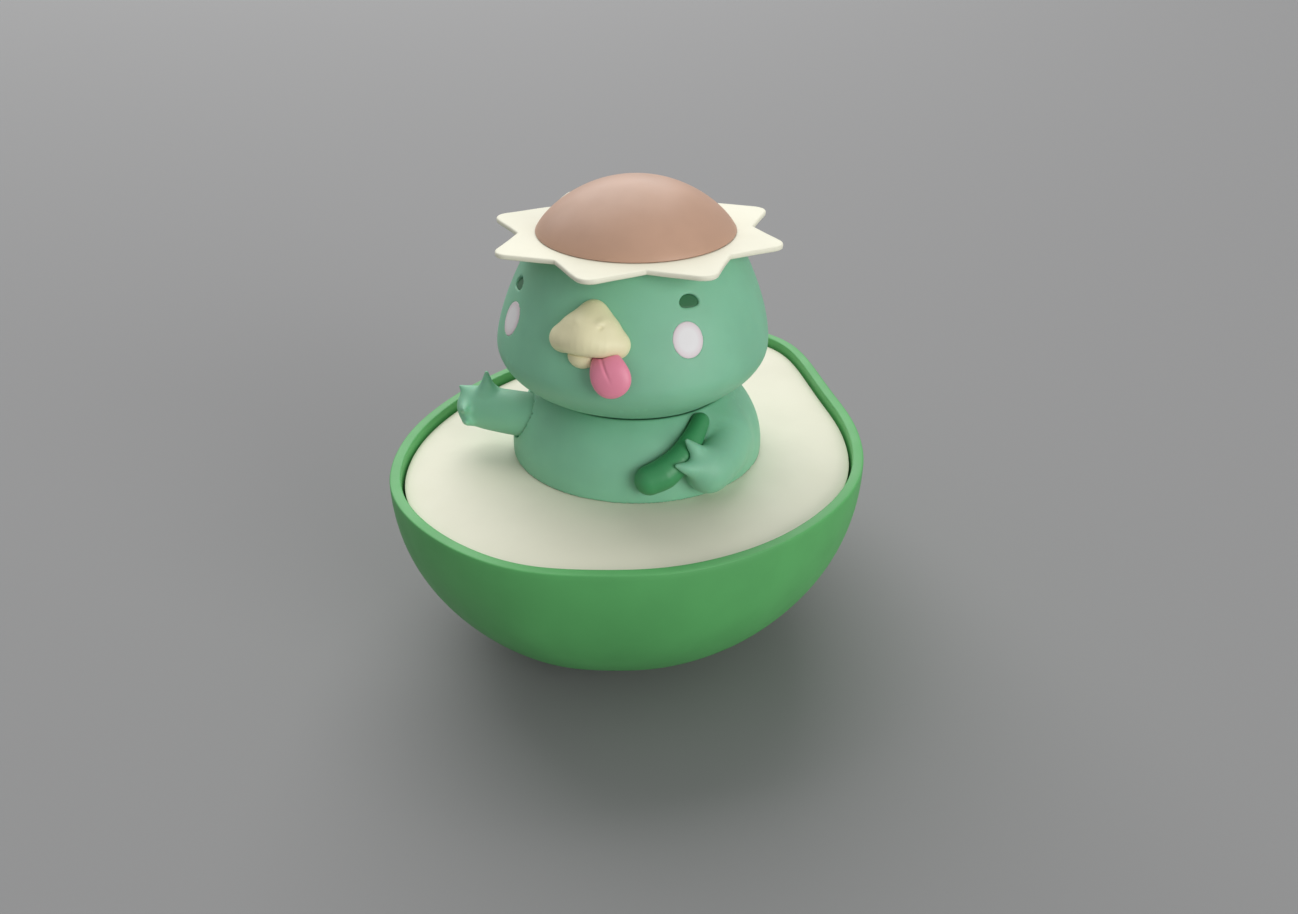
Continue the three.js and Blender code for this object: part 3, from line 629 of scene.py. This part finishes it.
def flesh_top(x, y):
    """Height of the flesh's surface under points away from its edge."""
    away = x + 1j * (y - BOWL_CENTRE_Y)
    edge = OUTLINE - OUTWARD * FLESH_INSET - 1j * BOWL_CENTRE_Y
    order = np.argsort(np.angle(edge))
    reach = np.interp(np.angle(away), np.angle(edge)[order], np.abs(edge)[order],
                      period=2 * math.pi)
    return flesh_crown(np.abs(away) / reach)


def avocado_flesh():
    """Domed cover with a skirt, three posts below for its own screws and holes for the torso's."""
    shares = [*np.linspace(0.02, 0.86, 34), *(1 - np.geomspace(0.13, 0.002, 16))]
    top = [avocado_ring(FLESH_INSET, share, flesh_height(share)) for share in shares]
    skirt = [
        avocado_ring(FLESH_INSET, 0.996, FLESH_EDGE_Z - 1.7),
        avocado_ring(FLESH_INSET, 0.993, FLESH_EDGE_Z - 2.2),
        avocado_ring(FLESH_INSET, 0.972, FLESH_SKIRT_Z),
        avocado_ring(FLESH_INSET + WALL, 0.972, FLESH_SKIRT_Z),
        avocado_ring(FLESH_INSET + WALL, 0.985, FLESH_EDGE_Z - 3.2),
    ]
    under = [avocado_ring(FLESH_INSET, share, flesh_height(share) - WALL)
             for share in (0.9, 0.7, 0.4, 0.05)]
    rings = (top + skirt + under)[::-1]
    flesh = loft("avocado_flesh", rings, "base", "flesh", "flesh_cover")
    spots = three_around(COVER_SCREW_CIRCLE, 60)
    post = straight(COVER_POST_RADIUS, COVER_POST_BOTTOM_Z, FLESH_EDGE_Z)
    combine(flesh, [cutter(post, spot) for spot in spots], "UNION")
    pilot = straight(PILOT_RADIUS, COVER_POST_BOTTOM_Z - 1, COVER_POST_BOTTOM_Z + 13)
    cuts = [cutter(pilot, spot) for spot in spots]
    clearance = straight(CLEARANCE_RADIUS, FLESH_SKIRT_Z - 1, FLESH_EDGE_Z + 4)
    cuts += [cutter(clearance, spot) for spot in three_around(BODY_SCREW_CIRCLE, 0)]
    combine(flesh, cuts, "DIFFERENCE")


# ---------------------------------------------------------------- cucumber, torso and arms
CUCUMBER_CENTRES = [polar(23.9, 23.2, 42.3), polar(23.6, 29.5, 43.3), polar(22.7, 36.9, 45.2),
                    polar(21, 44.6, 47.2), polar(18.7, 54.2, 49.1)]
CUCUMBER_RADII = [2.6, 2.75, 2.35, 1.95, 1.6]


def cucumber(points):
    """Bent cucumber with a peg that fixes it to the torso."""
    body = limb(points, CUCUMBER_CENTRES, CUCUMBER_RADII, 22)
    peg = rod(points, PILOT_RADIUS, polar(18.6, 27, 43), polar(24, 27, 43))
    return soft_min(body + 0.08 * wobble(points, 6.0, 3), peg, 0.3)


# Paths from the palm to the fingertips.
LEFT_FINGERS = [
    [polar(24.2, 47, 44.4), polar(24.3, 42.3, 47.1), polar(23.6, 39.2, 48.9)],
    [polar(25, 45.5, 43.6), polar(26, 38, 44.9), polar(25.9, 33.2, 45.7)],
]


def left_arm(points):
    """Bent arm, palm and the two fingers that lie over the cucumber."""
    shoulder, elbow = polar(14.5, 84, 45.2), polar(18.4, 73, 43.4)
    wrist, hand = polar(21.6, 60, 42.9), polar(23.9, 51, 42.9)
    arm = limb(points, [shoulder, elbow, wrist, hand], [4.6, 5.4, 4.5, 4.0])
    arm = soft_min(arm, ball(points, polar(24.3, 48.3, 42.5), [3.9, 3.9, 3.9]), 0.5)
    for path in LEFT_FINGERS:
        arm = soft_min(arm, limb(points, path, [2.4, 1.25, 0.4], 12), 1.6)
    return arm


def egg(points, shrink):
    """The torso's upright ellipsoid."""
    centre = (0, 0, BODY_SWELL_Z)
    wide = BODY_RADIUS - shrink
    return ball(points, centre, [wide, wide, BODY_HEIGHT - shrink])


def arm_rod(points, radius, start_x, end_x):
    axis = (ARM_AXIS_Y, ARM_AXIS_Z)
    return rod(points, radius, (start_x, *axis), (end_x, *axis))


def above_dish(points):
    """Height over the torso's dished top, which rises to a collar close under the chin."""
    reach = np.hypot(points[:, 0], points[:, 1])
    rise = np.clip((reach - NECK_RADIUS) / (COLLAR_RADIUS - NECK_RADIUS), 0, 1.2)
    return points[:, 2] - BODY_TOP_Z - 0.05 - (COLLAR_Z + 0.15 - BODY_TOP_Z) * rise**2


def torso(points):
    """Hollow egg cut off at the flesh, with the left arm, screw posts and sockets."""
    x, y, height = points.T
    dish = above_dish(points)
    shoulder = ball(points, (-13.2, -8.6, 44.4), [6.1, 6.1, 6.1])
    outside = soft_max(soft_min(egg(points, 0), shoulder, 2.0), dish, 0.2)
    near_hand = np.clip((-y - 7) / 6, 0, 1)
    solid = soft_min(outside, left_arm(points), 2.6 - 2.1 * near_hand)
    solid = soft_max(solid, dish, 0.2)
    solid = soft_max(solid, flesh_top(x, y) + 0.06 - height, 0.08)
    cavity = np.maximum(egg(points, WALL), height - CAVITY_TOP_Z)
    solid = soft_max(solid, -cavity, 0.2)
    for spot in three_around(BODY_SCREW_CIRCLE, 0):
        post = rod(points, SCREW_POST_RADIUS, (*spot, BODY_BOTTOM_Z), (*spot, CAVITY_TOP_Z + 1))
        solid = np.minimum(solid, post)
        pilot = rod(points, PILOT_RADIUS, (*spot, BODY_PILOT_BOTTOM_Z), (*spot, BODY_PILOT_TOP_Z))
        solid = np.maximum(solid, -pilot)
    cup = arm_rod(points, ARM_ROOT_RADIUS + 2, ARM_ROOT_X + ARM_SOCKET_WALL, ARM_ROOT_X - 6)
    solid = np.minimum(solid, np.maximum(cup, outside))
    socket = arm_rod(points, ARM_ROOT_RADIUS + 0.15, ARM_ROOT_X + GAP, ARM_ROOT_X - 12)
    solid = soft_max(solid, -socket, 0.35)
    pocket = arm_rod(points, ARM_FLANGE_RADIUS + TURNING_GAP, ARM_ROOT_X + 2.7, ARM_ROOT_X + 6.3)
    hole = arm_rod(points, ARM_PEG_RADIUS + TURNING_GAP, ARM_ROOT_X - 3, ARM_ROOT_X + 4)
    neck = rod(points, NECK_RADIUS + TURNING_GAP, (0, 0, 40), (0, 0, 52))
    solid = np.maximum(solid, -np.minimum(np.minimum(pocket, hole), neck))
    return soft_max(solid, GAP - cucumber(points), 0.2)


# Paths from the palm to the fingertips, measured from the arm's axis, and each root's radius.
RIGHT_FINGERS = [
    ([(-25.6, 0, 3), (-25.5, -0.2, 5.2), (-25.4, -0.3, 7.5)], 2.2),
    ([(-28, 0, 1.8), (-29.4, 0, 2.9), (-30.9, 0, 3.8)], 1.7),
    ([(-28.8, -1.4, 0.9), (-28.5, -3.5, 1.4), (-28.0, -5.2, 1.9)], 1.5),
    ([(-28.6, -1.4, -1.1), (-28.3, -3.3, -1.0), (-27.9, -5.0, -0.7)], 1.5),
]


def right_arm(points):
    """Straight sleeve, palm and four small fingers, with a hole for the peg it turns on."""
    axis = np.array([0, ARM_AXIS_Y, ARM_AXIS_Z])
    sleeve = [(ARM_ROOT_X + 3, 0, 0), (ARM_ROOT_X - 5, 0, 0), (-25, 0, 0.15), (-27.9, 0, 0.3)]
    arm = limb(points - axis, sleeve, [ARM_ROOT_RADIUS, ARM_ROOT_RADIUS, 4.0, 3.7])
    for path, root in RIGHT_FINGERS:
        arm = soft_min(arm, limb(points - axis, path, [root, 1.15, 0.35], 12), 1.0)
    arm = soft_max(arm, points[:, 0] - ARM_ROOT_X, 0.4)
    hole = arm_rod(points, ARM_PEG_RADIUS + 0.2, ARM_ROOT_X + 1, ARM_ROOT_X - 6)
    return np.maximum(arm, -hole)


# ---------------------------------------------------------------- head
def head_outside(points):
    """Upright egg with a narrow crown, whose chin stands in front of the neck."""
    x, y, z = points.T
    fall = np.clip((HAT_Z - z) / (HAT_Z - HEAD_BOTTOM_Z + 4), 0, 1)
    back = 0.5
    for _ in range(3):
        forward = fall * (CHIN_FORWARD + (NAPE_FORWARD - CHIN_FORWARD) * back)
        depth = (y + forward) / HEAD_FLATTEN
        reach = np.maximum(np.hypot(x, depth), 1e-6)
        rear = depth / reach
        back = (rear + np.sqrt(rear**2 + 0.02)) / 2
    power = CHIN_POWER + (NAPE_POWER - CHIN_POWER) * back
    down = np.maximum(HEAD_WIDEST_Z - z, 0) / (HEAD_WIDEST_Z - HEAD_BOTTOM_Z)
    lower = ((reach / HEAD_RADIUS) ** power + down**power) ** (1 / power) * HEAD_RADIUS
    up = np.clip((z - HEAD_WIDEST_Z) / (HAT_Z - HEAD_WIDEST_Z), 0, 1.2)
    upper = reach + (HEAD_RADIUS - HEAD_TOP_RADIUS) * up**HEAD_TAPER
    radial = np.where(z < HEAD_WIDEST_Z, lower, upper) - HEAD_RADIUS
    return soft_max(radial, z - HEAD_TOP_Z, 1.0)


class FacePatch:
    """A small inlay on the face: its place, and flat coordinates across it, up it and out."""

    def __init__(self, x, y, z):
        start = np.array([[x, y, z]], float)
        self.middle = project(head_outside, start, 8, 1.0)[0]
        out = gradient(head_outside, self.middle[None])[0]
        self.out = out / np.linalg.norm(out)
        self.right = np.cross((0, 0, 1), self.out)
        self.right /= np.linalg.norm(self.right)
        self.up = np.cross(self.out, self.right)

    def flat(self, points):
        away = points - self.middle
        return away @ self.right, away @ self.up, away @ self.out


EYES = {"left": FacePatch(13.9, -14.9, 72.6), "right": FacePatch(-16.95, -12.5, 71.3)}
CHEEKS = {"left": FacePatch(14.9, -18.2, 67.45), "right": FacePatch(-17.2, -16.1, 66.4)}
EYE_RADII = (1.74, 1.42)
EYE_FLAT = 0.82  # the half-moon's flat edge lies this far below its middle
CHEEK_RADII = (2.6, 2.95)
INLAY_DEPTH = 1.2


def oval(u, v, radii):
    scaled = np.hypot(u / radii[0], v / radii[1])
    steep = np.hypot(u / radii[0] ** 2, v / radii[1] ** 2)
    return scaled * (scaled - 1) / np.maximum(steep, 1e-6)


def half_moon(u, v):
    return soft_max(oval(u, v, EYE_RADII), -v - EYE_FLAT + 0.06 * u**2, 0.6)


def eye(points, patch):
    """Half-moon inlay, flush at its lower edge and sunk towards its upper one."""
    u, v, w = patch.flat(points)
    sunk = 0.22 + 0.16 * (v + EYE_FLAT)
    slab = soft_max(head_outside(points) + sunk, -w - INLAY_DEPTH, 0.2)
    return soft_max(half_moon(u, v) + 0.02, slab, 0.12)


def cheek(points, patch):
    """Oval inlay, flush with the face."""
    u, v, w = patch.flat(points)
    slab = soft_max(head_outside(points) - 0.03, -w - INLAY_DEPTH - 0.4, 0.2)
    return soft_max(oval(u, v, CHEEK_RADII) - 0.08, slab, 0.08)


def mark_border(piece, patch):
    """Store how near each point is to the cheek's outline: 0 in the middle, 1 on it."""
    points = np.array([vertex.co for vertex in piece.data.vertices]) / MM
    u, v, _ = patch.flat(points)
    near = np.hypot(u / CHEEK_RADII[0], v / CHEEK_RADII[1])
    border = piece.data.attributes.new("border", "FLOAT", "POINT")
    border.data.foreach_set("value", near.astype(np.float32))


def head(points):
    """Head and neck, with pockets for the inlays, the pit cap, the neck screw and the bill."""
    solid = head_outside(points)
    plug = rod(points, PLUG_RADIUS, (0, 0, BODY_TOP_Z), (0, 0, PLUG_ROOT_Z))
    solid = soft_min(solid, np.maximum(plug, PLUG_GAP - above_dish(points)), 0.8)
    neck = rod(points, NECK_RADIUS, (0, 0, NECK_END_Z), (0, 0, NECK_ROOT_Z))
    solid = soft_min(solid, neck, 0.5)
    for patch in EYES.values():
        u, v, w = patch.flat(points)
        solid = soft_max(solid, -np.maximum(half_moon(u, v), -w - INLAY_DEPTH - 0.1), 0.25)
    for patch in CHEEKS.values():
        u, v, w = patch.flat(points)
        pocket = np.maximum(oval(u, v, CHEEK_RADII) + 0.05, -w - INLAY_DEPTH - 0.5)
        solid = soft_max(solid, -pocket, 0.05)
    crown = rod(points, CROWN_HOLE, (0, 0, HAT_Z - 6), (0, 0, HAT_Z + 2))
    screw_hole = rod(points, PILOT_RADIUS, (0, 0, NECK_END_Z - 1), (0, 0, NECK_PILOT_TOP_Z))
    bill_hole = rod(points, BILL_PEG_RADIUS + 0.3, (BILL_X, -19.5, BILL_PEG_Z),
                    (BILL_X, -30, BILL_PEG_Z))
    return np.maximum(solid, -np.minimum(np.minimum(crown, screw_hole), bill_hole))


# ---------------------------------------------------------------- bill and tongue
def bill_solid(points):
    """Full, rounded triangle with a rolled lower lip and two small raised nostrils."""
    x = BILL_X
    top, left, right = (x + 0.05, -20.8, 70.7), (x - 4.6, -22.9, 67.2), (x + 4.4, -22.9, 67.1)
    solid = ball(points, (x, -22.9, 68.9), [4.9, 3.9, 3.2])
    ridge = limb(points, [top, (x, -23.2, 70.0), (x, -25.3, 68.6)], [2.2, 2.3, 2.1], 8)
    solid = soft_min(solid, ridge, 1.6)
    for corner in (left, right):
        side = (np.array(top) + corner) / 2 + (0.15, -0.7, 0.2)
        solid = soft_min(solid, limb(points, [top, side, corner], [2.3, 2.4, 2.25], 14), 1.4)
    lip = [left, (x - 2.6, -25.0, 67.7), (x, -25.8, 67.9), (x + 2.6, -25.0, 67.6), right]
    solid = soft_min(solid, limb(points, lip, [2.25, 2.05, 2.0, 2.05, 2.25], 14), 0.8)
    solid = solid + 0.05 * wobble(points, 5.0, 7)
    for side, lift in ((-1.3, 0.14), (2.35, 0.3)):
        away = points - (x + side, -24.5, 71.5)
        below = away + (-0.25, 0, 0.8)
        solid = solid - lift * np.exp(-((away / (0.75, 1.5, 0.4)) ** 2).sum(1))
        solid = solid + 0.8 * lift * np.exp(-((below / (0.4, 1.5, 0.3)) ** 2).sum(1))
    return solid


def upper_bill(points):
    """The bill outside the head, and the peg that holds it."""
    solid = soft_max(bill_solid(points), GAP - head_outside(points), 0.2)
    peg = rod(points, BILL_PEG_RADIUS, (BILL_X, -19.8, BILL_PEG_Z), (BILL_X, -24, BILL_PEG_Z))
    return np.minimum(solid, peg)


TONGUE_TURN = np.array(Matrix.Rotation(0.1, 3, "Z") @ Matrix.Rotation(-0.3, 3, "X")
                       @ Matrix.Rotation(-0.5, 3, "Y"))
TONGUE_MIDDLE = np.array([BILL_X + 4.4, -26.8, 63.75])


def tongue_blade(points):
    """Egg-shaped blade, narrower at its root, bent back under the bill, with a fine crease."""
    u, v, w = ((points - TONGUE_MIDDLE) @ TONGUE_TURN).T
    v = v - 0.13 * np.clip(w + 0.3, 0, 6) ** 2
    narrow = 1 + 0.045 * w
    blade = ball(np.stack([u * narrow, v, w], 1), (0, 0, 0), [3.25, 1.5, 4.2])
    crease = np.exp(-(((u + 0.1) / 0.24) ** 2)) * np.clip((w + 1.9) / 3, 0, 1)
    return blade + np.where(v < 0, 0.24 * crease, 0)


def tongue(points):
    solid = soft_max(tongue_blade(points), GAP - bill_solid(points), 0.15)
    return np.maximum(solid, GAP - head_outside(points))


def lower_bill(points):
    """Small ball lip that shows beside the tongue."""
    solid = ball(points, (BILL_X - 0.9, -23.2, 64.8), [2.9, 2.8, 2.4])
    solid = soft_max(solid, GAP - bill_solid(points), 0.2)
    solid = soft_max(solid, GAP - tongue_blade(points), 0.1)
    return np.maximum(solid, GAP - head_outside(points))


# ---------------------------------------------------------------- hat and pit
def star(points):
    """Flat star ring with rounded tips, soft edges and slightly uneven sides."""
    reach = np.hypot(points[:, 0], points[:, 1])
    sector = 2 * math.pi / STAR_TIPS
    angle = np.arctan2(points[:, 0], -points[:, 1])
    folded = np.abs((angle + sector / 2) % sector - sector / 2)
    along, across = reach * np.cos(folded), reach * np.sin(folded)
    tip = np.array([STAR_RADIUS, STAR_TIP_WIDTH / 2])
    valley = STAR_VALLEY * np.array([math.cos(sector / 2), math.sin(sector / 2)])
    side = (valley - tip) / np.linalg.norm(valley - tip)
    slant = (along - tip[0]) * side[1] - (across - tip[1]) * side[0]
    flat = soft_max(slant, along - STAR_RADIUS, 0.9) + 0.15 * wobble(points, 9.0, 11)
    middle, half = (HAT_Z + HAT_TOP_Z) / 2, (HAT_TOP_Z - HAT_Z) / 2
    level = np.abs(points[:, 2] - middle) - half
    return np.maximum(soft_max(flat, level, 0.3), CROWN_HOLE - reach)


def pit_cap():
    """Hollow dome with a ring below it that plugs into the head's crown."""
    base = HAT_TOP_Z + 0.05
    height = PIT_TOP_Z - base
    shares = np.sin(np.linspace(math.pi / 2, 0, 60)[2:-1])
    outside = [(PIT_RADIUS * share, base + height * (1 - share**2.05) ** 0.8) for share in shares]
    edge = [(PIT_RADIUS - 0.1, base), (PIT_RADIUS, base + 0.12)]
    hollow = PIT_PLUG_RADIUS - PIT_WALL
    inside = [(1, PIT_TOP_Z - WALL), (6, PIT_TOP_Z - WALL - 0.8), (hollow, base + 0.6),
              (hollow, PIT_BOTTOM_Z), (PIT_PLUG_RADIUS, PIT_BOTTOM_Z), (PIT_PLUG_RADIUS, base)]
    rings = turned_rings(inside + edge + outside, 160)
    return loft("pit_cap", rings, "head", "pit", "pit_dome")


# ---------------------------------------------------------------- build
def build():
    avocado_skin()
    avocado_flesh()
    sculpt("torso", torso, 0.33, "base", "figure", "body_shell")
    sculpt("cucumber_toy", cucumber, 0.22, "base", "cucumber", "cucumber")
    sculpt("raised_arm", right_arm, 0.22, "arm", "figure", "right_arm")
    sculpt("head", head, 0.33, "head", "figure", "head_shell")
    sculpt("star_hat", star, 0.25, "head", "hat", "hat_ring")
    pit_cap()
    sculpt("upper_bill", upper_bill, 0.16, "head", "bill", "bill_upper", margin=2.0)
    sculpt("lower_bill", lower_bill, 0.14, "head", "bill", "bill_lower")
    sculpt("tongue_blade", tongue, 0.14, "head", "tongue", "tongue")
    for side in ("left", "right"):
        patch = EYES[side]
        sculpt(f"{side}_eye", lambda p: eye(p, patch), 0.1, "head", "eye", f"eye_{side}")
        patch = CHEEKS[side]
        inlay = sculpt(f"{side}_cheek", lambda p: cheek(p, patch), 0.16, "head", "cheek",
                       f"cheek_{side}")
        mark_border(inlay, patch)


# ---------------------------------------------------------------- floor, light and camera
FLOOR_SIZE = 6  # metres
FLOOR_GREY = 0.26
WORLD_COLOUR = (0.9, 0.9, 0.92, 1)
WORLD_STRENGTH = 0.46
LIGHTS = [  # name, place in metres, side of the square in metres, power in watts
    ("top", (-0.75, 1.20, 1.55), 2.3, 41.0),
    ("side", (1.30, -0.75, 0.45), 0.9, 12.5),
]
LIGHTS_AIM = (0, 0, 0.05)
CAMERA_PLACE = (0.06566, -0.20077, 0.14893)
CAMERA_AZIMUTH = math.radians(17.5)
CAMERA_PITCH = math.radians(28.58)  # below the horizon


def make_floor():
    bpy.ops.mesh.primitive_grid_add(x_subdivisions=4, y_subdivisions=4, size=FLOOR_SIZE)
    floor = bpy.context.object
    floor.name = "floor"
    material = bpy.data.materials.new("pale_floor")
    material.use_nodes = True
    shader = material.node_tree.nodes["Principled BSDF"]
    shader.inputs["Base Color"].default_value = (FLOOR_GREY, FLOOR_GREY, FLOOR_GREY, 1)
    shader.inputs["Roughness"].default_value = 0.8
    floor.data.materials.append(material)


def soft_box(name, place, size, power):
    """Square area light that faces the toy."""
    light = bpy.data.lights.new(name, "AREA")
    light.shape, light.size, light.energy = "SQUARE", size, power
    lamp = bpy.data.objects.new(name, light)
    lamp.location = place
    aim = Vector(LIGHTS_AIM) - Vector(place)
    lamp.rotation_euler = aim.to_track_quat("-Z", "Y").to_euler()
    bpy.context.scene.collection.objects.link(lamp)


def make_lights():
    for light in LIGHTS:
        soft_box(*light)
    world = bpy.data.worlds.new("studio")
    bpy.context.scene.world = world
    world.use_nodes = True
    background = world.node_tree.nodes["Background"]
    background.inputs["Color"].default_value = WORLD_COLOUR
    background.inputs["Strength"].default_value = WORLD_STRENGTH


def make_camera():
    lens = bpy.data.cameras.new("camera")
    lens.lens, lens.sensor_width, lens.sensor_fit = 35.0, 36.0, "HORIZONTAL"
    lens.clip_start = 0.01
    camera = bpy.data.objects.new("camera", lens)
    camera.location = CAMERA_PLACE
    camera.rotation_euler = (math.pi / 2 - CAMERA_PITCH, 0, CAMERA_AZIMUTH)
    bpy.context.scene.collection.objects.link(camera)
    bpy.context.scene.camera = camera
    bpy.context.scene.view_settings.view_transform = "Standard"


make_camera()
make_floor()
make_lights()
finish_cad_nodes()
build()
